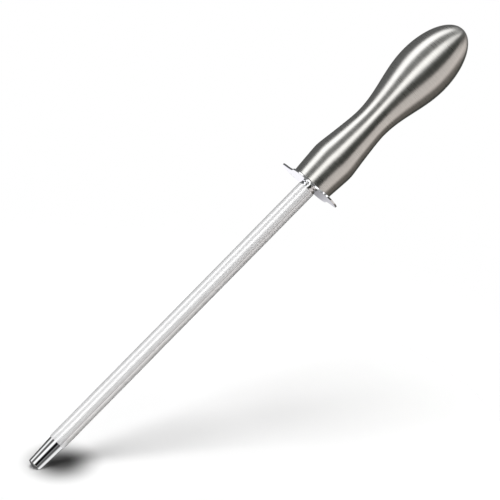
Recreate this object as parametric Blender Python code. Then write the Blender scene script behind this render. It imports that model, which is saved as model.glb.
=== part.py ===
"""Knife sharpening steel: a ribbed rod, a finger guard and a hollow round handle.

Metres. +Z runs along the steel's axis from the tip to the end of the handle, and the guard's ears
lie along X. The origin is the centre of the small flat on the end of the tip.
"""

import math

import bmesh
import bpy

MM = 0.001
GAP = 0.3 * MM  # clearance kept between neighbouring pieces
SMOOTH_ANGLE = 35.0  # degrees; edges that turn more than this are shaded sharp

# Rod
ROD_RADIUS = 6.0 * MM  # over the crests of the ribs
RIB_COUNT = 40
RIB_DEPTH = 0.3 * MM
ROD_LENGTH = 252.0 * MM  # from the end of the tip to the guard
TIP_LENGTH = 21.4 * MM  # the smooth part, with its end cone
TIP_TOP_RADIUS = 5.55 * MM
TIP_END_RADIUS = 4.65 * MM
TIP_CONE_LENGTH = 1.4 * MM
TIP_FLAT_RADIUS = 0.9 * MM
LAND_RADIUS = 5.6 * MM  # the smooth land beside the guard
LAND_LENGTH = 1.2 * MM
RIB_RUNOUT = 0.8 * MM  # length over which the ribs rise out of a smooth part

# Tang, hidden inside the handle
TANG_RADIUS = 4.0 * MM
TANG_LENGTH = 84.0 * MM  # beyond the guard's rod side
TANG_CHAMFER = 1.0 * MM
KEY_GROOVE_DEPTH = 0.6 * MM
KEY_GROOVE_WIDTH = 3.0 * MM
KEY_GROOVE_STARTS = (30.0 * MM, 50.0 * MM, 70.0 * MM)  # beyond the guard's rod side

# Finger guard
GUARD_THICKNESS = 1.2 * MM
GUARD_DISC_RADIUS = 14.8 * MM
GUARD_EAR_REACH = 29.0 * MM  # from the axis to the end of an ear
GUARD_EAR_HALF_WIDTH = 7.5 * MM
GUARD_EAR_END = 6.0 * MM  # how much of the ear's length its rounded end takes
GUARD_FILLET_RADIUS = 14.0 * MM  # where an ear runs into the disc
GUARD_DISC_STEPS, GUARD_FILLET_STEPS, GUARD_END_STEPS = 6, 4, 7  # sides of the outline's arcs in a quarter
GUARD_EDGE_ROUND = 0.25 * MM
GUARD_EDGE_STEPS = 2
GUARD_EDGE_ANGLE = 60.0  # degrees; only the edges between a face and the rim turn more than this
TANG_HOLE_RADIUS = TANG_RADIUS + GAP
HOLE_STEPS = 36  # sides of the polygon that stands for the round hole

# Handle, with heights counted from its mouth
HANDLE_LENGTH = 139.9 * MM
SHEET = 1.2 * MM
MOUTH_RADIUS = 13.8 * MM
SHOULDER_HEIGHT, SHOULDER_RADIUS = 21.0 * MM, 15.4 * MM
SHOULDER_BLEND = 3.5 * MM  # how far the shoulder's rounding reaches each way
FLANK_SLOPE = 0.139  # how fast the radius falls just above the shoulder
WAIST_HEIGHT, WAIST_RADIUS = 55.2 * MM, 11.5 * MM
BELLY_HEIGHT, BELLY_RADIUS = 103.7 * MM, 18.55 * MM
END_FLAT_RADIUS = 1.6 * MM
SHOULDER_STEPS, FLANK_STEPS, RISE_STEPS, DOME_STEPS = 3, 5, 8, 9  # straight runs in each stretch's curve
HANDLE_SEGMENTS = 44  # round the whole handle, an even number
SEAM_WIDTH = 0.6 * MM

# Inside the handle
MOUTH_PLATE_THICKNESS = 2.5 * MM
FILLER_LENGTH = 125.0 * MM  # from the mouth plate's inner face
FILLER_SEGMENTS = 32
FILLER_END_CLEAR = 1.0 * MM  # the profile's points closer than this to the filler's ends are left out
FILLER_BORE_END = TANG_LENGTH + 2.0 * MM  # beyond the guard's rod side

# Heights along Z
GUARD_BASE = ROD_LENGTH
HANDLE_BASE = GUARD_BASE + GUARD_THICKNESS + GAP


def clear_scene():
    for obj in list(bpy.data.objects):
        bpy.data.objects.remove(obj, do_unlink=True)


def make_material(name, colour, roughness, metallic):
    material = bpy.data.materials.new(name)
    material.use_nodes = True
    shader = material.node_tree.nodes["Principled BSDF"]
    shader.inputs["Base Color"].default_value = (*colour, 1.0)
    shader.inputs["Roughness"].default_value = roughness
    shader.inputs["Metallic"].default_value = metallic
    return material


def add_object(name, bm, material):
    """Turn a bmesh into a named object, with smooth shading on its round stretches."""
    bmesh.ops.recalc_face_normals(bm, faces=bm.faces[:])
    mesh = bpy.data.meshes.new(name)
    bm.to_mesh(mesh)
    bm.free()
    mesh.materials.append(material)
    mesh.shade_smooth()
    mesh.set_sharp_from_angle(angle=math.radians(SMOOTH_ANGLE))
    obj = bpy.data.objects.new(name, mesh)
    bpy.context.scene.collection.objects.link(obj)
    return obj


def loft(bm, rings, closed_ends=True):
    """Skin a list of vertex rings that all have the same count."""
    count = len(rings[0])
    for lower, upper in zip(rings, rings[1:]):
        for i in range(count):
            j = (i + 1) % count
            bm.faces.new((lower[i], lower[j], upper[j], upper[i]))
    if closed_ends:
        bm.faces.new(rings[0][::-1])
        bm.faces.new(rings[-1])


def circle(bm, radius, z, count):
    """A ring of vertices in a plane across the axis."""
    ring = []
    for i in range(count):
        angle = 2 * math.pi * i / count
        ring.append(bm.verts.new((radius * math.cos(angle), radius * math.sin(angle), z)))
    return ring


def ribbed_circle(bm, crest, depth, z):
    """A ring whose vertices lie in turn on a rib's crest and in the groove beside it."""
    count = 2 * RIB_COUNT
    ring = []
    for i in range(count):
        angle = 2 * math.pi * i / count
        radius = crest - depth * (i % 2)
        ring.append(bm.verts.new((radius * math.cos(angle), radius * math.sin(angle), z)))
    return ring


def arc_points(centre, radius, start, end, steps):
    """Points along an arc, both ends included, with the angles in radians."""
    points = []
    for i in range(steps + 1):
        angle = start + (end - start) * i / steps
        points.append((centre[0] + radius * math.cos(angle), centre[1] + radius * math.sin(angle)))
    return points


def bezier_points(start, control, end, steps):
    """Points along a quadratic curve, both ends included."""
    points = []
    for i in range(steps + 1):
        t = i / steps
        points.append(
            tuple((1 - t) ** 2 * a + 2 * t * (1 - t) * b + t * t * c for a, b, c in zip(start, control, end))
        )
    return points


def handle_profile():
    """The handle's outside as (radius, height) points, from the mouth to the end's small flat."""
    cone_slope = (SHOULDER_RADIUS - MOUTH_RADIUS) / SHOULDER_HEIGHT
    below = (SHOULDER_RADIUS - cone_slope * SHOULDER_BLEND, SHOULDER_HEIGHT - SHOULDER_BLEND)
    above = (SHOULDER_RADIUS - FLANK_SLOPE * SHOULDER_BLEND, SHOULDER_HEIGHT + SHOULDER_BLEND)
    flank_foot = (WAIST_RADIUS, above[1] + (above[0] - WAIST_RADIUS) / FLANK_SLOPE)
    profile = [(MOUTH_RADIUS, 0.0)]
    profile += bezier_points(below, (SHOULDER_RADIUS, SHOULDER_HEIGHT), above, SHOULDER_STEPS)
    profile += bezier_points(above, flank_foot, (WAIST_RADIUS, WAIST_HEIGHT), FLANK_STEPS)[1:]
    for i in range(1, RISE_STEPS + 1):
        share = i / RISE_STEPS
        swell = (1 - math.cos(math.pi * share)) / 2
        radius = WAIST_RADIUS + (BELLY_RADIUS - WAIST_RADIUS) * swell
        profile.append((radius, WAIST_HEIGHT + (BELLY_HEIGHT - WAIST_HEIGHT) * share))
    for i in range(1, DOME_STEPS):
        angle = math.pi / 2 * i / DOME_STEPS
        height = BELLY_HEIGHT + (HANDLE_LENGTH - BELLY_HEIGHT) * math.sin(angle)
        profile.append((BELLY_RADIUS * math.cos(angle), height))
    profile.append((END_FLAT_RADIUS, HANDLE_LENGTH))
    return profile


def inset_profile(profile, depth):
    """The profile moved inwards by a depth, with its first point still in the mouth's plane."""
    moved = []
    for i, (radius, height) in enumerate(profile):
        before = profile[max(i - 1, 0)]
        after = profile[min(i + 1, len(profile) - 1)]
        along = (after[0] - before[0], after[1] - before[1])
        size = math.hypot(*along)
        moved.append((radius - depth * along[1] / size, height + depth * along[0] / size))
    moved[0] = (profile[0][0] - depth, 0.0)
    moved[-1] = (profile[-1][0], profile[-1][1] - depth)
    return moved


def radius_at(profile, height):
    """The profile's radius at a height, between its points."""
    for (r0, z0), (r1, z1) in zip(profile, profile[1:]):
        if z0 <= height <= z1:
            return r0 + (r1 - r0) * (height - z0) / (z1 - z0)
    return 0.0


def make_sharpening_rod(chrome):
    """The bar: end cone, tapered tip, ribbed length, land, shoulder and grooved tang."""
    bm = bmesh.new()
    around = 2 * RIB_COUNT
    rib_end = ROD_LENGTH - GAP - LAND_LENGTH
    rings = [
        circle(bm, TIP_FLAT_RADIUS, 0.0, around),
        circle(bm, TIP_END_RADIUS, TIP_CONE_LENGTH, around),
        circle(bm, TIP_TOP_RADIUS, TIP_LENGTH, around),
        ribbed_circle(bm, ROD_RADIUS, RIB_DEPTH, TIP_LENGTH + RIB_RUNOUT),
        ribbed_circle(bm, ROD_RADIUS, RIB_DEPTH, rib_end - RIB_RUNOUT),
        circle(bm, LAND_RADIUS, rib_end, around),
        circle(bm, LAND_RADIUS, ROD_LENGTH - GAP, around),
        circle(bm, TANG_RADIUS, ROD_LENGTH - GAP, around),
    ]
    for start in KEY_GROOVE_STARTS:
        z = GUARD_BASE + start
        rings.append(circle(bm, TANG_RADIUS, z, around))
        rings.append(circle(bm, TANG_RADIUS - KEY_GROOVE_DEPTH, z + KEY_GROOVE_DEPTH, around))
        rings.append(circle(bm, TANG_RADIUS - KEY_GROOVE_DEPTH, z + KEY_GROOVE_WIDTH, around))
        rings.append(circle(bm, TANG_RADIUS, z + KEY_GROOVE_WIDTH + KEY_GROOVE_DEPTH, around))
    tang_end = GUARD_BASE + TANG_LENGTH
    rings.append(circle(bm, TANG_RADIUS, tang_end - TANG_CHAMFER, around))
    rings.append(circle(bm, TANG_RADIUS - TANG_CHAMFER, tang_end, around))
    loft(bm, rings)
    return add_object("sharpening_rod", bm, chrome)


def guard_quarter():
    """A quarter of the guard's outline, from the disc at +Y round to the end of the +X ear."""
    reach = GUARD_DISC_RADIUS + GUARD_FILLET_RADIUS
    fillet_y = GUARD_EAR_HALF_WIDTH + GUARD_FILLET_RADIUS
    fillet_x = math.sqrt(reach**2 - fillet_y**2)
    turn = math.atan2(fillet_y, fillet_x)
    quarter = arc_points((0.0, 0.0), GUARD_DISC_RADIUS, math.pi / 2, turn, GUARD_DISC_STEPS)
    fillet = arc_points(
        (fillet_x, fillet_y), GUARD_FILLET_RADIUS, math.pi + turn, 1.5 * math.pi, GUARD_FILLET_STEPS
    )
    quarter += fillet[1:]
    end_centre = GUARD_EAR_REACH - GUARD_EAR_END
    for x, y in arc_points((0.0, 0.0), 1.0, math.pi / 2, 0.0, GUARD_END_STEPS):
        quarter.append((end_centre + GUARD_EAR_END * x, GUARD_EAR_HALF_WIDTH * y))
    quarter[-1] = (GUARD_EAR_REACH, 0.0)
    return quarter


def make_finger_guard(chrome):
    """A flat plate with a round middle, two rounded ears and a hole for the tang."""
    quarter = guard_quarter()
    right = quarter + [(x, -y) for x, y in quarter[-2::-1]]
    outline = right + [(-x, -y) for x, y in right[1:-1]]
    hole = arc_points((0.0, 0.0), TANG_HOLE_RADIUS, 0.0, 2 * math.pi, HOLE_STEPS)[:-1]
    bm = bmesh.new()
    edges = []
    for loop in (outline, hole):
        verts = [bm.verts.new((x, y, GUARD_BASE)) for x, y in loop]
        edges += [bm.edges.new((a, b)) for a, b in zip(verts, verts[1:] + verts[:1])]
    bmesh.ops.triangle_fill(bm, use_beauty=True, edges=edges)
    extruded = bmesh.ops.extrude_face_region(bm, geom=bm.faces[:])
    top = [item for item in extruded["geom"] if isinstance(item, bmesh.types.BMVert)]
    bmesh.ops.translate(bm, verts=top, vec=(0.0, 0.0, GUARD_THICKNESS))
    guard = add_object("finger_guard", bm, chrome)
    bevel = guard.modifiers.new("rounded_edges", "BEVEL")
    bevel.width = GUARD_EDGE_ROUND
    bevel.segments = GUARD_EDGE_STEPS
    bevel.limit_method = "ANGLE"
    bevel.angle_limit = math.radians(GUARD_EDGE_ANGLE)
    return guard


def half_ring(bm, radius, z, side):
    """A row of vertices round one half of the handle, from one parting edge to the other."""
    steps = HANDLE_SEGMENTS // 2
    start = math.asin((SEAM_WIDTH / 2 + GAP) / radius)
    row = []
    for i in range(steps + 1):
        angle = side * (start + (math.pi - 2 * start) * i / steps)
        row.append(bm.verts.new((radius * math.cos(angle), radius * math.sin(angle), z)))
    return row


def make_handle_half(name, side, steel):
    """One pressed half of the handle. Side is -1 for the half at -Y and +1 for the half at +Y."""
    outside = handle_profile()
    bm = bmesh.new()
    outer = [half_ring(bm, r, HANDLE_BASE + z, side) for r, z in outside]
    inner = [half_ring(bm, r, HANDLE_BASE + z, side) for r, z in inset_profile(outside, SHEET)]
    for rows in (outer, inner):
        for lower, upper in zip(rows, rows[1:]):
            for i in range(len(lower) - 1):
                bm.faces.new((lower[i], lower[i + 1], upper[i + 1], upper[i]))
        bm.faces.new(rows[-1])
    for i in range(len(outer[0]) - 1):
        bm.faces.new((outer[0][i], inner[0][i], inner[0][i + 1], outer[0][i + 1]))
    # The parting face runs up one side, across under the end's flat and down the other side.
    rim = [row[0] for row in outer] + [row[-1] for row in reversed(outer)]
    inner_rim = [row[0] for row in inner] + [row[-1] for row in reversed(inner)]
    for i in range(len(rim) - 1):
        bm.faces.new((rim[i], rim[i + 1], inner_rim[i + 1], inner_rim[i]))
    return add_object(name, bm, steel)


def make_seam_weld(steel):
    """The flush weld between the halves: a strip in the XZ plane, up one side and down the other."""
    outside = handle_profile()
    inside = inset_profile(outside, SHEET)
    outer = outside + [(-r, z) for r, z in reversed(outside)]
    inner = inside + [(-r, z) for r, z in reversed(inside)]
    bm = bmesh.new()

    def path(points, y):
        return [bm.verts.new((x, y, HANDLE_BASE + z)) for x, z in points]

    front_outer, front_inner = path(outer, -SEAM_WIDTH / 2), path(inner, -SEAM_WIDTH / 2)
    back_outer, back_inner = path(outer, SEAM_WIDTH / 2), path(inner, SEAM_WIDTH / 2)
    corners = (front_outer, front_inner, back_inner, back_outer)
    for one, other in zip(corners, corners[1:] + corners[:1]):
        for i in range(len(outer) - 1):
            bm.faces.new((one[i], one[i + 1], other[i + 1], other[i]))
    for end in (0, -1):
        bm.faces.new([line[end] for line in corners])
    return add_object("seam_weld", bm, steel)


def make_mouth_plate(steel):
    """The disc that closes the handle's mouth, with a hole for the tang."""
    radius = MOUTH_RADIUS - SHEET - GAP
    top = HANDLE_BASE + MOUTH_PLATE_THICKNESS
    bm = bmesh.new()
    rings = [
        circle(bm, TANG_HOLE_RADIUS, HANDLE_BASE, HANDLE_SEGMENTS),
        circle(bm, radius, HANDLE_BASE, HANDLE_SEGMENTS),
        circle(bm, radius, top, HANDLE_SEGMENTS),
        circle(bm, TANG_HOLE_RADIUS, top, HANDLE_SEGMENTS),
    ]
    loft(bm, rings + rings[:1], closed_ends=False)
    return add_object("mouth_plate", bm, steel)


def make_handle_filler(resin):
    """The resin cast round the tang, filling the handle above the mouth plate."""
    inside = inset_profile(handle_profile(), SHEET + GAP)
    base = MOUTH_PLATE_THICKNESS + GAP
    top = MOUTH_PLATE_THICKNESS + FILLER_LENGTH
    bore_top = GUARD_BASE + FILLER_BORE_END
    bm = bmesh.new()
    rings = [circle(bm, radius_at(inside, base), HANDLE_BASE + base, FILLER_SEGMENTS)]
    for radius, height in inside:
        if base + FILLER_END_CLEAR < height < top - FILLER_END_CLEAR:
            rings.append(circle(bm, radius, HANDLE_BASE + height, FILLER_SEGMENTS))
    rings.append(circle(bm, radius_at(inside, top), HANDLE_BASE + top, FILLER_SEGMENTS))
    bore = [
        circle(bm, TANG_HOLE_RADIUS, HANDLE_BASE + base, FILLER_SEGMENTS),
        circle(bm, TANG_HOLE_RADIUS, bore_top, FILLER_SEGMENTS),
    ]
    loft(bm, bore[::-1] + rings, closed_ends=True)
    return add_object("handle_filler", bm, resin)


def main():
    clear_scene()
    chrome = make_material("chrome", (0.86, 0.86, 0.87), 0.12, 1.0)
    brushed = make_material("brushed_steel", (0.62, 0.61, 0.59), 0.32, 1.0)
    bare = make_material("bare_steel", (0.45, 0.45, 0.46), 0.45, 1.0)
    resin = make_material("resin", (0.72, 0.68, 0.58), 0.6, 0.0)
    make_sharpening_rod(chrome)
    make_finger_guard(chrome)
    make_mouth_plate(bare)
    make_handle_half("handle_half_front", -1, brushed)
    make_handle_half("handle_half_back", 1, brushed)
    make_seam_weld(brushed)
    make_handle_filler(resin)


main()
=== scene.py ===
import math
from collections import namedtuple

import bmesh
import bpy
import numpy as np
from mathutils import Matrix, Vector


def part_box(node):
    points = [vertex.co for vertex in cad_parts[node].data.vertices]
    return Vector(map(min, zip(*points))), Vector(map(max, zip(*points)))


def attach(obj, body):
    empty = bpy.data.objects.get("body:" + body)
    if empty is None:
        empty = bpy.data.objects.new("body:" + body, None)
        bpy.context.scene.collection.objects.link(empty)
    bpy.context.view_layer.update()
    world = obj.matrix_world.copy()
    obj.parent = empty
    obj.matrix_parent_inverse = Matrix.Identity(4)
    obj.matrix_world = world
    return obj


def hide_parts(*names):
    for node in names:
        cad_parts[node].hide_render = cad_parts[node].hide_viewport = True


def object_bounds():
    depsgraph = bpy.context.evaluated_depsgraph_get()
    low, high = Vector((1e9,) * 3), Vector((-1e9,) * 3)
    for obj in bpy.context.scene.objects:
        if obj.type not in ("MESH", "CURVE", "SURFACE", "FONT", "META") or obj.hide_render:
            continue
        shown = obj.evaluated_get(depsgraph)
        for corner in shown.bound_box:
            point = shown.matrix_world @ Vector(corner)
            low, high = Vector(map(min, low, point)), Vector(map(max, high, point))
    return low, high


# The looks of the knife sharpening steel. Metres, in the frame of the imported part: +Z runs from the
# tip to the end of the handle, the guard's ears lie along X, and the origin is at the end of the tip.

MM = 0.001
GAP = 0.3 * MM  # between neighbouring pieces
SHARP_ANGLE = 40.0  # edges that turn by more than this many degrees stay sharp
SHORTEST_SPAN = 1e-9

# Rod
RIB_COUNT = 40
RIB_DEPTH = 0.05 * MM
POINTS_PER_RIB = 16
RIB_SHAPE = 8.0  # 2 gives half-round ribs, and more gives flatter ribs with narrower grooves
# Painted shade: a groove darkens from this share of the way from a rib's crest, at 0, to the groove's
# middle, at 1
GROOVE_START, GROOVE_SHADE = 0.6, 0.25
# A painted line of shade along the rod, in degrees to the right of the side that faces the camera
PAINTED_LINE_AZIMUTH, PAINTED_LINE_HALF_WIDTH, PAINTED_LINE_SHADE = 29.5, 3.2, 0.6
TIP_LENGTH = 21.4 * MM
TIP_TOP_RADIUS = 5.55 * MM
TIP_END_RADIUS = 4.65 * MM
TIP_CONE_LENGTH = 1.4 * MM
TIP_FLAT_RADIUS = 0.9 * MM
TIP_CORNER_SIZE, TIP_CORNER_STEPS = 0.35 * MM, 5
LAND_RADIUS = 5.6 * MM
LAND_LENGTH = 1.2 * MM
RUNOUT_LENGTH = 1.4 * MM  # over which the ribs rise out of a smooth part
RUNOUT_STEPS, BODY_STEPS = 7, 16
TANG_RADIUS, TANG_CHAMFER = 4.0 * MM, 1.0 * MM
SHARP_EDGE_ROUND = 0.12 * MM

# Guard
EAR_HALF_WIDTH = 7.5 * MM
EAR_END = 6.0 * MM
EAR_FILLET = 14.0 * MM
RIM_ROUND = 0.22 * MM  # radius of the rim's two rounded edges
RIM_STEPS = 5
GUARD_HOLE_RADIUS = 4.3 * MM
DISC_STEPS, FILLET_STEPS, EAR_STEPS = 14, 10, 16
# Where the rings of a flat face lie, from the hole at 0 to the rim at 1
FACE_SHARES = (0.0, 0.03, 0.25, 0.5, 0.75)

# Handle
SHEET = 1.2 * MM
LIP_ROUND, LIP_STEPS = 0.35 * MM, 4
HANDLE_SEGMENTS = 160
CURVE_STEPS = 6  # rings of the outside for each ring of the CAD
INSIDE_STRIDE = 4  # rings of the outside for each ring of the inside
FACING_OUT = 0.2  # a CAD vertex on the outside faces away from the axis at least this squarely

# Materials: how finely a noise is grained along X, Y and Z
BRUSH_FINE, BRUSH_SHORT, BRUSH_BROAD = (60, 60, 1500), (420, 420, 1700), (25, 25, 90)
BRUSH_FINE_SHARE, BRUSH_DEPTH = 0.65, 0.004 * MM
BRUSH_ROUGHNESS, BRUSH_ROUGHER_BROAD, BRUSH_ROUGHER_FINE = 0.18, 0.10, 0.14
RIB_STREAKS, RIB_PATCHES = (650, 650, 2), (160, 160, 40)
STREAK_START, STREAK_END, STREAK_DEPTH = 0.35, 0.65, 0.001 * MM
RIB_ROUGHNESS, RIB_ROUGHER_PATCHES = 0.21, 0.04
TIP_HAIRS, GUARD_HAIRS, CHROME_CLOUD = (900, 900, 60), (700, 700, 700), (180, 180, 180)
CHROME_CLEAN, HAIR_DEPTH = 0.6, 0.0006 * MM  # clean chrome's roughness, as a share of what the cloud adds
STEEL_SCALE, STEEL_SCALE_DEPTH = (300, 300, 300), 0.02 * MM
RESIN_CLOUD, RESIN_BUBBLES, BUBBLE_DEPTH = (120, 120, 120), 900.0, 0.1 * MM
PAPER_GRAIN = (900, 900, 900)
NOISE_ROUGHNESS = 0.6

# Camera: the steel leans to the right in the picture and slightly away from the viewer
CAMERA_AZIMUTH = 50.0
CAMERA_ELEVATION = -6.5
CAMERA_ROLL = 44.54
LENS, SENSOR = 800.0, 36.0
FRAME_WIDTH = 318.5 * MM  # what the picture spans at the steel
AIM_RIGHT, AIM_DOWN = 0.93 * MM, 1.58 * MM  # from the steel's middle to the picture's
FLOOR_VIEW_ANGLE = 23.3  # the camera's height above the floor, in degrees

# Light. A panel runs from start to end, in degrees round an axis: 0 is towards the camera, and plus is
# to the right. It ends softly over the two soft widths. A height is the part of a direction that points
# along +Z. A panel's strength rises from nothing between the two heights of rise, if it has them, and
# falls to top_share between those of fade.
Panel = namedtuple(
    "Panel",
    "start end soft_start soft_end strength colour rise fade top_share",
    defaults=((1.0, 1.0, 1.0), None, None, 1.0),
)
STUDIO_DARK = (0.036, 0.039, 0.034)
STUDIO_TILT_BACK, STUDIO_TILT_RIGHT = 12.0, 9.0  # how the axis of the studio's panels leans
WARM, WARM_FADE = (1.0, 0.93, 0.89), (0.72, 0.9)
STUDIO_PANELS = (
    Panel(-83.8, -70.3, 16.0, 14.0, 1.5, fade=(0.83, 1.0), top_share=0.3),
    Panel(-64.0, -36.0, 10.0, 10.0, 0.12),
    Panel(-22.2, -13.0, 12.0, 19.5, 1.5, (1.0, 0.995, 0.98), fade=(0.35, 1.0), top_share=0.65),
    Panel(45.8, 78.5, 8.5, 24.0, 0.63, WARM, fade=WARM_FADE, top_share=0.08),
    Panel(82.4, 123.0, 14.0, 25.0, 0.1, (1.0, 0.86, 0.78), fade=WARM_FADE, top_share=0.08),
    Panel(100.0, 138.0, 24.0, 14.0, 0.55, WARM, rise=(0.42, 0.56), fade=WARM_FADE, top_share=0.05),
    Panel(-147.5, -104.0, 10.0, 20.0, 0.09, (1.0, 1.0, 1.05)),
    Panel(168.0, 180.0, 10.0, 1.0, 0.4, fade=(0.3, 0.6), top_share=0.3),
    Panel(-180.0, -166.0, 1.0, 10.0, 0.4, (0.98, 0.98, 1.0), fade=(0.3, 0.6), top_share=0.3),
    Panel(-180.0, 180.0, 1.0, 1.0, 0.12, rise=(0.9, 1.0)),
)
TIP_RING_DARK = (0.004, 0.004, 0.005)
TIP_RING_PANELS = (
    Panel(-180.0, -46.0, 1.0, 22.0, 0.1),
    Panel(-96.0, -84.0, 18.0, 18.0, 0.85),
    Panel(-32.0, -15.0, 18.0, 16.0, 1.05),
    Panel(38.0, 44.0, 14.0, 9.0, 0.2),
    Panel(58.0, 180.0, 14.0, 1.0, 0.1),
    Panel(92.0, 128.0, 26.0, 22.0, 0.8),
)
TIP_RING_RADIUS, TIP_RING_BOTTOM, TIP_RING_RISE = 50.0 * MM, -60.0 * MM, 6.0 * MM
TIP_RING_SEGMENTS = 64
GUARD_CARD_DISTANCE = 300.0 * MM
GUARD_CARD_HALF, GUARD_CARD_EDGE, GUARD_CARD_HEIGHT = 70.0 * MM, -1.0 * MM, 120.0 * MM
GUARD_CARD_COLOUR = (1.0, 0.99, 1.04)
# The card is white to the left of its edge. On the right its grey grows lighter from start to end.
GUARD_GREY_START, GUARD_GREY_END = 5.0 * MM, 19.0 * MM
GUARD_GREY_LOW, GUARD_GREY_HIGH = 0.32, 0.62
FILL_STRENGTH = 0.15
ROD_LIGHT_AZIMUTH, ROD_LIGHT_POWER = -26.0, 9.3
ROD_LIGHT_DISTANCE, ROD_LIGHT_SIZE = 1.0, 0.8
# The key light's angle is how wide it looks from the tip
KEY_DISTANCE, KEY_ANGLE, KEY_POWER = 1.5, 42.0, 20.1
FLOOR_RADIUS, FLOOR_SEGMENTS, FLOOR_DROP = 0.5, 96, 0.4 * MM
FLOOR_FADE_START, FLOOR_FADE_END = 0.1, 0.41  # how far from the tip the floor melts into the background
# A painted shadow under the tip, darkening the floor's colour: how dark, where and how big
CONTACT_SHADE = 0.875
CONTACT_CENTRE = (17.6 * MM, 8.0 * MM)  # on the floor, to the right of the tip and away from the camera
CONTACT_SIZE = (16.8 * MM, 22.0 * MM)
# The shade is full up to the first of these shares of its size, and ends at the second
CONTACT_FULL, CONTACT_END = 0.25, 1.75
ROD_SHADE, ROD_SHADE_WIDTH = 0.065, 34.0 * MM  # a faint band of painted shade under the leaning rod
ROD_SHADE_ANGLE, ROD_SHADE_OFFSET = 25.0, 8.5 * MM
ROD_SHADE_RISE = (60.0 * MM, 120.0 * MM)
ROD_SHADE_FADE = (180.0 * MM, 340.0 * MM)


# ---------------------------------------------------------------- mesh helpers


def mesh_object(name, bm, materials):
    bmesh.ops.recalc_face_normals(bm, faces=bm.faces[:])
    mesh = bpy.data.meshes.new(name)
    bm.to_mesh(mesh)
    bm.free()
    for material in materials:
        mesh.materials.append(material)
    mesh.shade_smooth()
    mesh.set_sharp_from_angle(angle=math.radians(SHARP_ANGLE))
    obj = bpy.data.objects.new(name, mesh)
    bpy.context.scene.collection.objects.link(obj)
    return obj


def skin(bm, rings, closed=False):
    """Faces between rings of vertices that all have the same count."""
    pairs = list(zip(rings, rings[1:]))
    if closed:
        pairs.append((rings[-1], rings[0]))
    faces = []
    for lower, upper in pairs:
        for i in range(len(lower)):
            j = (i + 1) % len(lower)
            faces.append(bm.faces.new((lower[i], lower[j], upper[j], upper[i])))
    return faces


def cap(bm, ring, height):
    """Close a ring with a fan of triangles round a point on the axis."""
    pole = bm.verts.new((0.0, 0.0, height))
    for i in range(len(ring)):
        bm.faces.new((ring[i], ring[(i + 1) % len(ring)], pole))


def ring_at(bm, height, radii):
    count = len(radii)
    ring = []
    for i, radius in enumerate(radii):
        angle = 2 * math.pi * i / count
        ring.append(bm.verts.new((radius * math.cos(angle), radius * math.sin(angle), height)))
    return ring


def smooth_curve(points, beyond, steps):
    """A Catmull-Rom curve through the points, heading for the point beyond at its end."""
    points = np.array(points)
    ahead = np.vstack([2 * points[0] - points[1], points, beyond])
    curve = []
    for p0, p1, p2, p3 in zip(ahead, ahead[1:], ahead[2:], ahead[3:]):
        spans = ((p0, p1), (p1, p2), (p2, p3))
        d1, d2, d3 = (max(math.sqrt(np.linalg.norm(b - a)), SHORTEST_SPAN) for a, b in spans)
        m1 = (p1 - p0) / d1 - (p2 - p0) / (d1 + d2) + (p2 - p1) / d2
        m2 = (p2 - p1) / d2 - (p3 - p1) / (d2 + d3) + (p3 - p2) / d3
        for k in range(steps):
            t = k / steps
            curve.append(
                (2 * t**3 - 3 * t**2 + 1) * p1
                + (t**3 - 2 * t**2 + t) * m1 * d2
                + (3 * t**2 - 2 * t**3) * p2
                + (t**3 - t**2) * m2 * d2
            )
    curve.append(points[-1])
    return [tuple(p) for p in curve]


# ---------------------------------------------------------------- node helpers


def node(tree, kind, **settings):
    made = tree.nodes.new("ShaderNode" + kind)
    for name, value in settings.items():
        setattr(made, name, value)
    return made


def feed(tree, socket, value):
    """Give a socket a fixed value, or link it to another node's output."""
    if isinstance(value, bpy.types.NodeSocket):
        tree.links.new(value, socket)
    elif isinstance(value, tuple) and len(value) == 3 and socket.type == "RGBA":
        socket.default_value = (*value, 1.0)
    else:
        socket.default_value = value


def maths(tree, operation, *values):
    made = node(tree, "Math", operation=operation)
    for socket, value in zip(made.inputs, values):
        feed(tree, socket, value)
    return made.outputs[0]


def ramp(tree, value, start, end, low=0.0, high=1.0):
    """A soft step from low to high as value goes from start to end."""
    made = node(tree, "MapRange", interpolation_type="SMOOTHSTEP")
    names = ("Value", "From Min", "From Max", "To Min", "To Max")
    for name, setting in zip(names, (value, start, end, low, high)):
        feed(tree, made.inputs[name], setting)
    return made.outputs[0]


def scaled(tree, vector, factors):
    made = node(tree, "VectorMath", operation="MULTIPLY")
    feed(tree, made.inputs[0], vector)
    made.inputs[1].default_value = factors
    return made.outputs[0]


def dot(tree, vector, direction):
    made = node(tree, "VectorMath", operation="DOT_PRODUCT")
    feed(tree, made.inputs[0], vector)
    made.inputs[1].default_value = direction
    return made.outputs["Value"]


def noise(tree, vector, factors, detail=3.0):
    """Noise from 0 to 1 whose grain is set by how much each direction is scaled."""
    made = node(tree, "TexNoise")
    feed(tree, made.inputs["Vector"], scaled(tree, vector, factors))
    made.inputs["Scale"].default_value = 1.0
    made.inputs["Detail"].default_value = detail
    made.inputs["Roughness"].default_value = NOISE_ROUGHNESS
    return made.outputs["Fac"]


def vector_length(tree, vector):
    made = node(tree, "VectorMath", operation="LENGTH")
    feed(tree, made.inputs[0], vector)
    return made.outputs["Value"]


def mix(tree, share, a, b):
    """The colour between a and b."""
    made = node(tree, "Mix", data_type="RGBA")
    sockets = [socket for socket in made.inputs if socket.enabled]
    for socket, value in zip(sockets, (share, a, b)):
        feed(tree, socket, value)
    return next(socket for socket in made.outputs if socket.enabled)


def bump(tree, height, distance):
    made = node(tree, "Bump")
    made.inputs["Distance"].default_value = distance
    feed(tree, made.inputs["Height"], height)
    return made.outputs["Normal"]


def empty_material(name):
    """A material whose tree has no nodes yet."""
    material = bpy.data.materials.new(name)
    material.use_nodes = True
    tree = material.node_tree
    tree.nodes.clear()
    return material, tree


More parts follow.
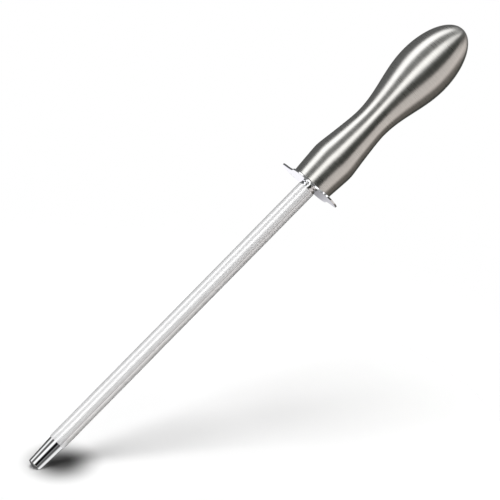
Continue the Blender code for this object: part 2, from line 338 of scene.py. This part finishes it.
def new_material(name):
    material, tree = empty_material(name)
    shader = node(tree, "BsdfPrincipled")
    output = node(tree, "OutputMaterial")
    tree.links.new(shader.outputs["BSDF"], output.inputs["Surface"])
    place = node(tree, "TexCoord").outputs["Object"]
    return material, tree, shader.inputs, place


def round_the_axis(tree):
    """A tangent that runs round the Z axis."""
    return node(tree, "Tangent", direction_type="RADIAL", axis="Z").outputs["Tangent"]


# ---------------------------------------------------------------- materials


def brushed_handle_steel():
    """Satin steel, brushed round the handle on a lathe."""
    material, tree, shader, place = new_material("brushed_handle_steel")
    fine = noise(tree, place, BRUSH_FINE)
    short = noise(tree, place, BRUSH_SHORT, detail=2)
    broad = noise(tree, place, BRUSH_BROAD)
    rest = maths(tree, "MULTIPLY", short, 1.0 - BRUSH_FINE_SHARE)
    lines = maths(tree, "MULTIPLY_ADD", fine, BRUSH_FINE_SHARE, rest)
    feed(tree, shader["Base Color"], mix(tree, lines, (0.55, 0.54, 0.52), (0.96, 0.95, 0.93)))
    uneven = maths(tree, "MULTIPLY_ADD", broad, BRUSH_ROUGHER_BROAD, BRUSH_ROUGHNESS)
    feed(tree, shader["Roughness"], maths(tree, "MULTIPLY_ADD", fine, BRUSH_ROUGHER_FINE, uneven))
    shader["Metallic"].default_value = 1.0
    shader["Anisotropic"].default_value = 0.7
    shader["Anisotropic Rotation"].default_value = 0.25
    feed(tree, shader["Tangent"], round_the_axis(tree))
    feed(tree, shader["Normal"], bump(tree, lines, BRUSH_DEPTH))
    return material


def ribbed_chrome():
    """Hard satin chrome, with painted shade in the grooves between the ribs and along one dark line."""
    material, tree, shader, place = new_material("ribbed_chrome")
    along = noise(tree, place, RIB_STREAKS, detail=0)
    lines = ramp(tree, along, STREAK_START, STREAK_END)
    patches = noise(tree, place, RIB_PATCHES)
    turn = maths(tree, "ARCTAN2", dot(tree, place, (0.0, 1.0, 0.0)), dot(tree, place, (1.0, 0.0, 0.0)))
    share = maths(tree, "FRACT", maths(tree, "MULTIPLY", turn, RIB_COUNT / (2 * math.pi)))
    from_crest = maths(tree, "ABSOLUTE", maths(tree, "MULTIPLY_ADD", share, 2.0, -1.0))
    # Painted shade: the grooves darken the base colour
    groove = ramp(tree, from_crest, GROOVE_START, 1.0, 1.0, 1.0 - GROOVE_SHADE)
    # Painted shade: one dark line along the rod, placed from where the camera looks
    painted_line_turn = math.radians(PAINTED_LINE_AZIMUTH + CAMERA_AZIMUTH - 90.0)
    from_painted_line = maths(tree, "ABSOLUTE", maths(tree, "SUBTRACT", turn, painted_line_turn))
    painted_line_shade = ramp(tree, from_painted_line, 0.0, math.radians(PAINTED_LINE_HALF_WIDTH), 1.0 - PAINTED_LINE_SHADE, 1.0)
    shade = maths(tree, "MULTIPLY", groove, painted_line_shade)
    metal = mix(tree, lines, (0.83, 0.83, 0.84), (0.97, 0.97, 0.98))
    # The grooves' and the line's painted shade darkens the metal's colour
    feed(tree, shader["Base Color"], mix(tree, shade, (0.0, 0.0, 0.0), metal))
    shader["Metallic"].default_value = 0.5
    roughness = maths(tree, "MULTIPLY_ADD", patches, RIB_ROUGHER_PATCHES, RIB_ROUGHNESS)
    feed(tree, shader["Roughness"], roughness)
    feed(tree, shader["Normal"], bump(tree, along, STREAK_DEPTH))
    return material


def polished_chrome(name, tint, roughness, grain):
    """Bright chrome with faint hairlines and a cloudy finish where fingers and cloths have been."""
    material, tree, shader, place = new_material(name)
    hairs = noise(tree, place, grain)
    cloud = noise(tree, place, CHROME_CLOUD, detail=4)
    feed(tree, shader["Base Color"], mix(tree, cloud, tint, (0.97, 0.97, 0.97)))
    shader["Metallic"].default_value = 1.0
    feed(tree, shader["Roughness"], maths(tree, "MULTIPLY_ADD", cloud, roughness, roughness * CHROME_CLEAN))
    feed(tree, shader["Normal"], bump(tree, hairs, HAIR_DEPTH))
    return material


def plain_steel():
    """Sheet steel as it is cut, hidden in the handle's mouth."""
    material, tree, shader, place = new_material("plain_steel")
    scale = noise(tree, place, STEEL_SCALE, detail=5)
    feed(tree, shader["Base Color"], mix(tree, scale, (0.33, 0.33, 0.34), (0.5, 0.5, 0.51)))
    shader["Metallic"].default_value = 1.0
    feed(tree, shader["Roughness"], ramp(tree, scale, 0.2, 0.8, low=0.35, high=0.6))
    feed(tree, shader["Normal"], bump(tree, scale, STEEL_SCALE_DEPTH))
    return material


def cast_resin():
    """The cloudy resin round the tang, with small bubbles."""
    material, tree, shader, place = new_material("cast_resin")
    cloud = noise(tree, place, RESIN_CLOUD, detail=5)
    bubbles = node(tree, "TexVoronoi")
    feed(tree, bubbles.inputs["Vector"], place)
    bubbles.inputs["Scale"].default_value = RESIN_BUBBLES
    pits = ramp(tree, bubbles.outputs["Distance"], 0.05, 0.3)
    feed(tree, shader["Base Color"], mix(tree, cloud, (0.62, 0.57, 0.46), (0.8, 0.76, 0.66)))
    feed(tree, shader["Roughness"], ramp(tree, cloud, 0.2, 0.8, low=0.45, high=0.7))
    feed(tree, shader["Normal"], bump(tree, pits, BUBBLE_DEPTH))
    return material


# ---------------------------------------------------------------- rod


def rib_profile():
    """How deep the surface lies below the crests at each point round the rod, from 0 to 1."""
    depths = []
    for i in range(RIB_COUNT * POINTS_PER_RIB):
        across = 2 * ((i / POINTS_PER_RIB) % 1.0) - 1
        depths.append(abs(across) ** RIB_SHAPE)
    return np.array(depths)


def rod_rows(bottom, crest, land_top, top):
    """The bar's rings from tip to tang, as heights and the radii round them, and how many are the tip's."""
    groove = rib_profile()
    flat = np.ones_like(groove)
    tip = (TIP_FLAT_RADIUS, bottom), (TIP_END_RADIUS, TIP_CONE_LENGTH), (TIP_TOP_RADIUS, TIP_LENGTH)
    rows = [(bottom, TIP_FLAT_RADIUS * flat)]
    rows += [(z, r * flat) for r, z in rounded(*tip)]
    rows.append((TIP_LENGTH, TIP_TOP_RADIUS * flat))
    tip_rows = len(rows)
    for k in range(1, RUNOUT_STEPS + 1):
        share = k / RUNOUT_STEPS
        rise = math.sin(share * math.pi / 2)
        radii = TIP_TOP_RADIUS + (crest - TIP_TOP_RADIUS) * rise - RIB_DEPTH * rise * groove
        rows.append((TIP_LENGTH + RUNOUT_LENGTH * share, radii))
    start, stop = TIP_LENGTH + RUNOUT_LENGTH, land_top - LAND_LENGTH - RUNOUT_LENGTH
    for k in range(1, BODY_STEPS + 1):
        rows.append((start + (stop - start) * k / BODY_STEPS, crest - RIB_DEPTH * groove))
    for k in range(1, RUNOUT_STEPS + 1):
        share = k / RUNOUT_STEPS
        fall = 1 - math.cos(share * math.pi / 2)
        radii = crest + (LAND_RADIUS - crest) * fall - RIB_DEPTH * (1 - fall) * groove
        rows.append((stop + RUNOUT_LENGTH * share, radii))
    rows.append((land_top - SHARP_EDGE_ROUND, LAND_RADIUS * flat))
    rows.append((land_top, (LAND_RADIUS - SHARP_EDGE_ROUND) * flat))
    rows.append((land_top, TANG_RADIUS * flat))
    rows.append((top - TANG_CHAMFER, TANG_RADIUS * flat))
    rows.append((top, (TANG_RADIUS - TANG_CHAMFER) * flat))
    return rows, tip_rows


def make_rod(rib_metal, tip_metal):
    """The bar: end cone, tapered polished tip, ribbed length, land and plain tang."""
    low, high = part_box("sharpening_rod")
    land_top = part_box("finger_guard")[0].z - GAP
    rows, tip_rows = rod_rows(low.z, high.x, land_top, high.z)
    bm = bmesh.new()
    rings = [ring_at(bm, z, radii) for z, radii in rows]
    faces = skin(bm, rings)
    around = RIB_COUNT * POINTS_PER_RIB
    land_rows = RUNOUT_STEPS + 4  # all the rows of faces past the ribs but the first
    for face in faces[: (tip_rows - 1) * around] + faces[-land_rows * around :]:
        face.material_index = 1
    cap(bm, rings[0][::-1], low.z)
    cap(bm, rings[-1], high.z)
    rod = mesh_object("ribbed_rod", bm, [rib_metal, tip_metal])
    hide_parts("sharpening_rod")
    return rod


def rounded(before, corner, after):
    """Points that turn the tip's corner between two straight runs along a short curve."""
    before, corner, after = (np.array(p) for p in (before, corner, after))
    start = corner + (before - corner) / np.linalg.norm(before - corner) * TIP_CORNER_SIZE
    end = corner + (after - corner) / np.linalg.norm(after - corner) * TIP_CORNER_SIZE
    points = []
    for k in range(TIP_CORNER_STEPS + 1):
        t = k / TIP_CORNER_STEPS
        points.append(tuple((1 - t) ** 2 * start + 2 * t * (1 - t) * corner + t * t * end))
    return points


# ---------------------------------------------------------------- guard


def guard_outline(disc, reach):
    """The guard's outline as a closed list of points, with their outward directions."""
    out = disc + EAR_FILLET
    fillet_y = EAR_HALF_WIDTH + EAR_FILLET
    fillet_x = math.sqrt(out**2 - fillet_y**2)
    turn = math.atan2(fillet_y, fillet_x)
    quarter = []
    for k in range(DISC_STEPS):
        angle = math.pi / 2 + (turn - math.pi / 2) * k / DISC_STEPS
        quarter.append((disc * math.cos(angle), disc * math.sin(angle)))
    for k in range(FILLET_STEPS):
        angle = math.pi + turn + (math.pi / 2 - turn) * k / FILLET_STEPS
        x = fillet_x + EAR_FILLET * math.cos(angle)
        quarter.append((x, fillet_y + EAR_FILLET * math.sin(angle)))
    centre = reach - EAR_END
    for k in range(EAR_STEPS + 1):
        angle = math.pi / 2 * (1 - k / EAR_STEPS)
        quarter.append((centre + EAR_END * math.cos(angle), EAR_HALF_WIDTH * math.sin(angle)))
    right = quarter + [(x, -y) for x, y in quarter[-2::-1]]
    outline = np.array(right + [(-x, -y) for x, y in right[1:-1]])
    along = np.roll(outline, -1, axis=0) - np.roll(outline, 1, axis=0)
    normal = np.stack([-along[:, 1], along[:, 0]], axis=1)
    normal /= np.linalg.norm(normal, axis=1)[:, None]
    normal *= np.sign((normal * outline).sum(axis=1))[:, None]
    return outline, normal


def make_guard(metal):
    low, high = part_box("finger_guard")
    outline, normal = guard_outline(high.y, high.x)
    angles = np.arctan2(outline[:, 1], outline[:, 0])
    hole = GUARD_HOLE_RADIUS * np.stack([np.cos(angles), np.sin(angles)], axis=1)
    bm = bmesh.new()
    rings = []

    def add(points, z):
        rings.append([bm.verts.new((x, y, z)) for x, y in points])

    inset = outline - normal * RIM_ROUND
    for share in FACE_SHARES:
        add(hole + (inset - hole) * share, low.z)
    quarter_turn = [math.pi / 2 * k / RIM_STEPS for k in range(RIM_STEPS + 1)]
    for angle in quarter_turn:
        add(inset + normal * RIM_ROUND * math.sin(angle), low.z + RIM_ROUND * (1 - math.cos(angle)))
    for angle in quarter_turn[::-1]:
        add(inset + normal * RIM_ROUND * math.sin(angle), high.z - RIM_ROUND * (1 - math.cos(angle)))
    for share in FACE_SHARES[::-1]:
        add(hole + (inset - hole) * share, high.z)
    skin(bm, rings, closed=True)
    guard = mesh_object("polished_guard", bm, [metal])
    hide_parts("finger_guard")
    return guard


# ---------------------------------------------------------------- handle


def outside_rings(cad):
    """The handle's outside as (radius, height) points, from the rings of one CAD half."""
    widest = {}
    for vertex in cad.data.vertices:
        out = Vector((vertex.co.x, vertex.co.y, 0.0))
        if vertex.normal.dot(out.normalized()) < FACING_OUT:
            continue
        height = round(vertex.co.z, 5)
        widest[height] = max(widest.get(height, 0.0), out.length)
    return [(widest[z], z) for z in sorted(widest)]


def handle_profile(cad, top):
    """The skin's section as (radius, height) points, from the end's inside round the lip to its outside."""
    rings = outside_rings(cad)
    last_radius, last_height = rings[-2]
    outside = smooth_curve(rings[:-1] + [(0.0, top)], (-last_radius, last_height), CURVE_STEPS)[:-1]
    belly = -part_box("handle_half_front")[0].y
    outside = [(min(radius, belly), height) for radius, height in outside]
    mouth_radius, mouth = outside[0]
    inner_edge = mouth_radius - SHEET
    lip = []
    for k in range(LIP_STEPS + 1):
        angle = math.pi / 2 * k / LIP_STEPS
        radius = mouth_radius - LIP_ROUND * (1 - math.sin(angle))
        lip.append((radius, mouth + LIP_ROUND * (1 - math.cos(angle))))
    inside = [(inner_edge, mouth + LIP_ROUND)]
    guides = outside[::INSIDE_STRIDE]
    for before, point, after in zip(guides, guides[1:], guides[2:]):
        run, rise = after[0] - before[0], after[1] - before[1]
        size = math.hypot(run, rise)
        inside.append((point[0] - SHEET * rise / size, point[1] + SHEET * run / size))
    inside = [(r, z) for r, z in inside if r > SHEET]
    past_lip = [p for p in outside if p[1] > mouth + 2 * LIP_ROUND]
    return inside[::-1] + [(inner_edge + LIP_ROUND, mouth)] + lip + past_lip


def make_handle(frame, metal):
    """One seamless skin: the two pressed halves and the weld between them, ground flush."""
    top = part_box("handle_half_front")[1].z
    profile = handle_profile(frame["nodes"]["handle_half_front"], top)
    bm = bmesh.new()
    loops = [ring_at(bm, z, [r] * HANDLE_SEGMENTS) for r, z in profile]
    skin(bm, loops)
    cap(bm, loops[0][::-1], top - SHEET)
    cap(bm, loops[-1], top)
    handle = mesh_object("handle_skin", bm, [metal])
    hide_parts("handle_half_front", "handle_half_back", "seam_weld")
    return handle


# ---------------------------------------------------------------- picture


def camera_axes():
    """The picture's right, up and back directions in the part's frame."""
    azimuth, elevation, roll = (math.radians(a) for a in (CAMERA_AZIMUTH, CAMERA_ELEVATION, CAMERA_ROLL))
    level = Vector((math.cos(azimuth), math.sin(azimuth), 0.0))
    reach = math.cos(elevation)
    back = Vector((math.sin(azimuth) * reach, -math.cos(azimuth) * reach, math.sin(elevation)))
    upright = back.cross(level)
    right = level * math.cos(roll) + upright * math.sin(roll)
    up = upright * math.cos(roll) - level * math.sin(roll)
    return right, up, back


def add_camera(box):
    low, high = box
    right, up, back = camera_axes()
    data = bpy.data.cameras.new("camera")
    data.lens = LENS
    data.sensor_width = SENSOR
    camera = bpy.data.objects.new("camera", data)
    bpy.context.scene.collection.objects.link(camera)
    centre = Vector((0.0, 0.0, (low.z + high.z) / 2)) + right * AIM_RIGHT - up * AIM_DOWN
    distance = FRAME_WIDTH * LENS / SENSOR
    camera.matrix_world = Matrix((right, up, back)).transposed().to_4x4()
    camera.location = centre + back * distance
    bpy.context.scene.camera = camera


def panel_window(tree, value, start, end, soft_start, soft_end):
    """1 between start and end, falling to 0 over the soft widths outside them."""
    rise = ramp(tree, value, start - soft_start, start)
    fall = ramp(tree, value, end, end + soft_end, 1.0, 0.0)
    return maths(tree, "MULTIPLY", rise, fall)


def panel_directions(tilt_back, tilt_right):
    """Where 0 and 90 degrees lie, round an axis that leans away from the camera and to the right."""
    azimuth = math.radians(CAMERA_AZIMUTH)
    to_camera = Vector((math.sin(azimuth), -math.cos(azimuth), 0.0))
    to_right = Vector((math.cos(azimuth), math.sin(azimuth), 0.0))
    lean_back, lean_right = math.sin(math.radians(tilt_back)), math.sin(math.radians(tilt_right))
    upward = math.sqrt(1 - lean_back**2 - lean_right**2)
    axis = Vector((0.0, 0.0, upward)) - to_camera * lean_back + to_right * lean_right
    front = (to_camera - axis * to_camera.dot(axis)).normalized()
    return front, axis.cross(front)


def panel_light(tree, kind, ray, dark, panels, tilt_back=0.0, tilt_right=0.0):
    """A dark surround with soft panels added to it, as seen in a direction from the steel."""
    front, side = panel_directions(tilt_back, tilt_right)
    turn = maths(tree, "ARCTAN2", dot(tree, ray, side), dot(tree, ray, front))
    degrees = maths(tree, "MULTIPLY", turn, 180 / math.pi)
    height = dot(tree, ray, (0.0, 0.0, 1.0))
    surround = node(tree, kind)
    feed(tree, surround.inputs["Color"], dark)
    total = surround.outputs[0]
    for panel in panels:
        glow = node(tree, kind)
        feed(tree, glow.inputs["Color"], panel.colour)
        power = panel_window(tree, degrees, panel.start, panel.end, panel.soft_start, panel.soft_end)
        power = maths(tree, "MULTIPLY", power, panel.strength)
        if panel.rise:
            risen = ramp(tree, height, *panel.rise)
            power = maths(tree, "MULTIPLY", power, risen)
        if panel.fade:
            faded = ramp(tree, height, *panel.fade, 1.0, panel.top_share)
            power = maths(tree, "MULTIPLY", power, faded)
        feed(tree, glow.inputs["Strength"], power)
        added = node(tree, "AddShader")
        tree.links.new(total, added.inputs[0])
        tree.links.new(glow.outputs[0], added.inputs[1])
        total = added.outputs[0]
    return total


def add_studio():
    """A dark studio with long soft panels round the steel, seen only in reflections."""
    world = bpy.data.worlds.new("studio")
    bpy.context.scene.world = world
    world.use_nodes = True
    tree = world.node_tree
    tree.nodes.clear()
    ray = node(tree, "TexCoord").outputs["Generated"]
    tilt = (STUDIO_TILT_BACK, STUDIO_TILT_RIGHT)
    total = panel_light(tree, "Background", ray, STUDIO_DARK, STUDIO_PANELS, *tilt)
    path = node(tree, "LightPath")
    plain = node(tree, "Background")
    fill = node(tree, "Background")
    feed(tree, plain.inputs["Color"], (1.0, 1.0, 1.0))
    feed(tree, fill.inputs["Color"], (1.0, 1.0, 1.0))
    feed(tree, fill.inputs["Strength"], FILL_STRENGTH)
    for kind, shown in (("Is Diffuse Ray", fill), ("Is Camera Ray", plain)):
        swap = node(tree, "MixShader")
        tree.links.new(path.outputs[kind], swap.inputs[0])
        tree.links.new(total, swap.inputs[1])
        tree.links.new(shown.outputs[0], swap.inputs[2])
        total = swap.outputs[0]
    tree.links.new(total, node(tree, "OutputWorld").inputs["Surface"])


def show_only_in_reflections(card):
    card.visible_camera = False
    card.visible_diffuse = False
    card.visible_shadow = False


def add_tip_ring():
    """A ring of soft panels close round the polished tip."""
    material, tree = empty_material("tip_ring_light")
    ray = scaled(tree, node(tree, "NewGeometry").outputs["Incoming"], (-1.0, -1.0, -1.0))
    light = panel_light(tree, "Emission", ray, TIP_RING_DARK, TIP_RING_PANELS)
    tree.links.new(light, node(tree, "OutputMaterial").inputs["Surface"])
    bm = bmesh.new()
    flat = [TIP_RING_RADIUS] * TIP_RING_SEGMENTS
    skin(bm, [ring_at(bm, TIP_RING_BOTTOM, flat), ring_at(bm, TIP_LENGTH + TIP_RING_RISE, flat)])
    ring = mesh_object("tip_ring", bm, [material])
    show_only_in_reflections(ring)


def guard_card_material(centre, across):
    """White to the left of the card's edge, and on the right a grey that grows lighter."""
    material, tree = empty_material("guard_card_light")
    light = node(tree, "Emission")
    feed(tree, light.inputs["Color"], GUARD_CARD_COLOUR)
    place = node(tree, "TexCoord").outputs["Object"]
    sideways = maths(tree, "SUBTRACT", dot(tree, place, tuple(across)), centre.dot(across))
    grey = ramp(tree, sideways, GUARD_GREY_START, GUARD_GREY_END, GUARD_GREY_LOW, GUARD_GREY_HIGH)
    white = maths(tree, "LESS_THAN", sideways, GUARD_CARD_EDGE)
    feed(tree, light.inputs["Strength"], maths(tree, "MAXIMUM", grey, white))
    tree.links.new(light.outputs[0], node(tree, "OutputMaterial").inputs["Surface"])
    return material


def add_guard_card():
    """A card that the guard's rod side mirrors to the camera."""
    right, up, back = camera_axes()
    face = Vector((0.0, 0.0, -1.0))
    mirrored = 2 * face.dot(back) * face - back
    across = Vector((right.x, right.y, 0.0)).normalized()
    upright = across.cross(mirrored).normalized()
    centre = Vector((0.0, 0.0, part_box("finger_guard")[0].z)) + mirrored * GUARD_CARD_DISTANCE
    bm = bmesh.new()
    corners = []
    for x, y in ((-1, -1), (1, -1), (1, 1), (-1, 1)):
        corner = centre + across * x * GUARD_CARD_HALF + upright * y * GUARD_CARD_HEIGHT / 2
        corners.append(bm.verts.new(corner))
    bm.faces.new(corners)
    card = mesh_object("guard_card", bm, [guard_card_material(centre, across)])
    show_only_in_reflections(card)


def painted_floor_shade(tree, place):
    """Painted shadow in the floor's colour: dark near the tip, and slightly darker in a band under the rod.
    """
    away = node(tree, "VectorMath", operation="SUBTRACT")
    feed(tree, away.inputs[0], place)
    away.inputs[1].default_value = (*CONTACT_CENTRE, 0.0)
    shrink = (1 / CONTACT_SIZE[0], 1 / CONTACT_SIZE[1], 1.0)
    spread = vector_length(tree, scaled(tree, away.outputs[0], shrink))
    contact = ramp(tree, spread, CONTACT_FULL, CONTACT_END, 1.0 - CONTACT_SHADE, 1.0)
    turn = math.radians(ROD_SHADE_ANGLE)
    along = dot(tree, place, (math.cos(turn), math.sin(turn), 0.0))
    sideways = dot(tree, place, (-math.sin(turn), math.cos(turn), 0.0))
    across = maths(tree, "SUBTRACT", sideways, ROD_SHADE_OFFSET)
    band = ramp(tree, maths(tree, "ABSOLUTE", across), 0.0, ROD_SHADE_WIDTH, ROD_SHADE, 0.0)
    band = maths(tree, "MULTIPLY", band, ramp(tree, along, *ROD_SHADE_RISE))
    band = maths(tree, "MULTIPLY", band, ramp(tree, along, *ROD_SHADE_FADE, 1.0, 0.0))
    return maths(tree, "MULTIPLY", contact, maths(tree, "SUBTRACT", 1.0, band))


def floor_material():
    """Pale paper with painted shadow under the tip and rod, clear when seen from below, that melts into the
    background far from the tip.
    """
    material, tree, shader, place = new_material("pale_floor")
    grain = noise(tree, place, PAPER_GRAIN)
    paper = mix(tree, grain, (0.93, 0.93, 0.93), (0.95, 0.95, 0.95))
    # The painted shadow darkens the paper's colour
    feed(tree, shader["Base Color"], mix(tree, painted_floor_shade(tree, place), (0.0, 0.0, 0.0), paper))
    shader["Roughness"].default_value = 1.0
    shader["Specular IOR Level"].default_value = 0.0
    fade = ramp(tree, vector_length(tree, place), FLOOR_FADE_START, FLOOR_FADE_END, 1.0, 0.0)
    seen = node(tree, "LightPath").outputs["Is Camera Ray"]
    solid = maths(tree, "MAXIMUM", fade, maths(tree, "SUBTRACT", 1.0, seen))
    behind = node(tree, "NewGeometry").outputs["Backfacing"]
    feed(tree, shader["Alpha"], maths(tree, "MULTIPLY", solid, maths(tree, "SUBTRACT", 1.0, behind)))
    return material


def add_floor_and_key_light():
    """The floor that the tip stands on, and a soft light straight above it."""
    right, up, back = camera_axes()
    tilt = math.radians(FLOOR_VIEW_ANGLE)
    upward = up * math.cos(tilt) + back * math.sin(tilt)
    bm = bmesh.new()
    bmesh.ops.create_circle(bm, cap_ends=True, segments=FLOOR_SEGMENTS, radius=FLOOR_RADIUS)
    floor = mesh_object("floor", bm, [floor_material()])
    floor.rotation_mode = "QUATERNION"
    floor.rotation_quaternion = Matrix((right, upward.cross(right), upward)).transposed().to_quaternion()
    floor.location = -upward * FLOOR_DROP
    floor.visible_glossy = False
    key_size = 2 * KEY_DISTANCE * math.tan(math.radians(KEY_ANGLE / 2))
    add_soft_light("key_light", Vector(), upward, KEY_DISTANCE, key_size, KEY_POWER, [floor])


def add_soft_light(name, target, direction, distance, size, power, receivers):
    """A round soft light that shines on the receivers only and is never seen itself."""
    data = bpy.data.lights.new(name, "AREA")
    data.shape = "DISK"
    data.size = size
    data.energy = power
    light = bpy.data.objects.new(name, data)
    bpy.context.scene.collection.objects.link(light)
    light.rotation_mode = "QUATERNION"
    light.rotation_quaternion = direction.to_track_quat("Z", "Y")
    light.location = target + direction.normalized() * distance
    light.visible_camera = False
    light.visible_glossy = False
    group = bpy.data.collections.new(name + "_receivers")
    for receiver in receivers:
        group.objects.link(receiver)
    light.light_linking.receiver_collection = group


def add_rod_light(rod):
    """A soft light that faces the rod, turned round it from the side that faces the camera."""
    middle = Vector((0.0, 0.0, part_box("finger_guard")[0].z / 2))
    turn = math.radians(CAMERA_AZIMUTH + ROD_LIGHT_AZIMUTH)
    direction = Vector((math.sin(turn), -math.cos(turn), 0.0))
    distance, size = ROD_LIGHT_DISTANCE, ROD_LIGHT_SIZE
    add_soft_light("rod_light", middle, direction, distance, size, ROD_LIGHT_POWER, [rod])


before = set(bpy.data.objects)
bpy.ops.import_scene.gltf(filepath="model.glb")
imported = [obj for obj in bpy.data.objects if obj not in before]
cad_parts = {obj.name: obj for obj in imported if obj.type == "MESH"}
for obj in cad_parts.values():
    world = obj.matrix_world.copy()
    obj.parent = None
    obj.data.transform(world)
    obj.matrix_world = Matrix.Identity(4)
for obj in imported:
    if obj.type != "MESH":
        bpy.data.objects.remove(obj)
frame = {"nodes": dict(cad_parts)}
cad_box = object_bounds()

rod = make_rod(
    ribbed_chrome(),
    polished_chrome("tip_chrome", tint=(0.9, 0.91, 0.93), roughness=0.04, grain=TIP_HAIRS),
)
guard = make_guard(
    polished_chrome("guard_chrome", tint=(0.88, 0.88, 0.92), roughness=0.08, grain=GUARD_HAIRS)
)
handle = make_handle(frame, brushed_handle_steel())
for piece in (rod, guard, handle):
    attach(piece, "root")
for name, slot, material in (
    ("mouth_plate", "plain_steel", plain_steel()),
    ("handle_filler", "filler_resin", cast_resin()),
):
    hidden = frame["nodes"][name]
    hidden.data.materials.clear()
    hidden.data.materials.append(material)

add_camera(cad_box)
add_studio()
add_tip_ring()
add_guard_card()
add_floor_and_key_light()
add_rod_light(rod)
bpy.context.scene.view_settings.view_transform = "Standard"
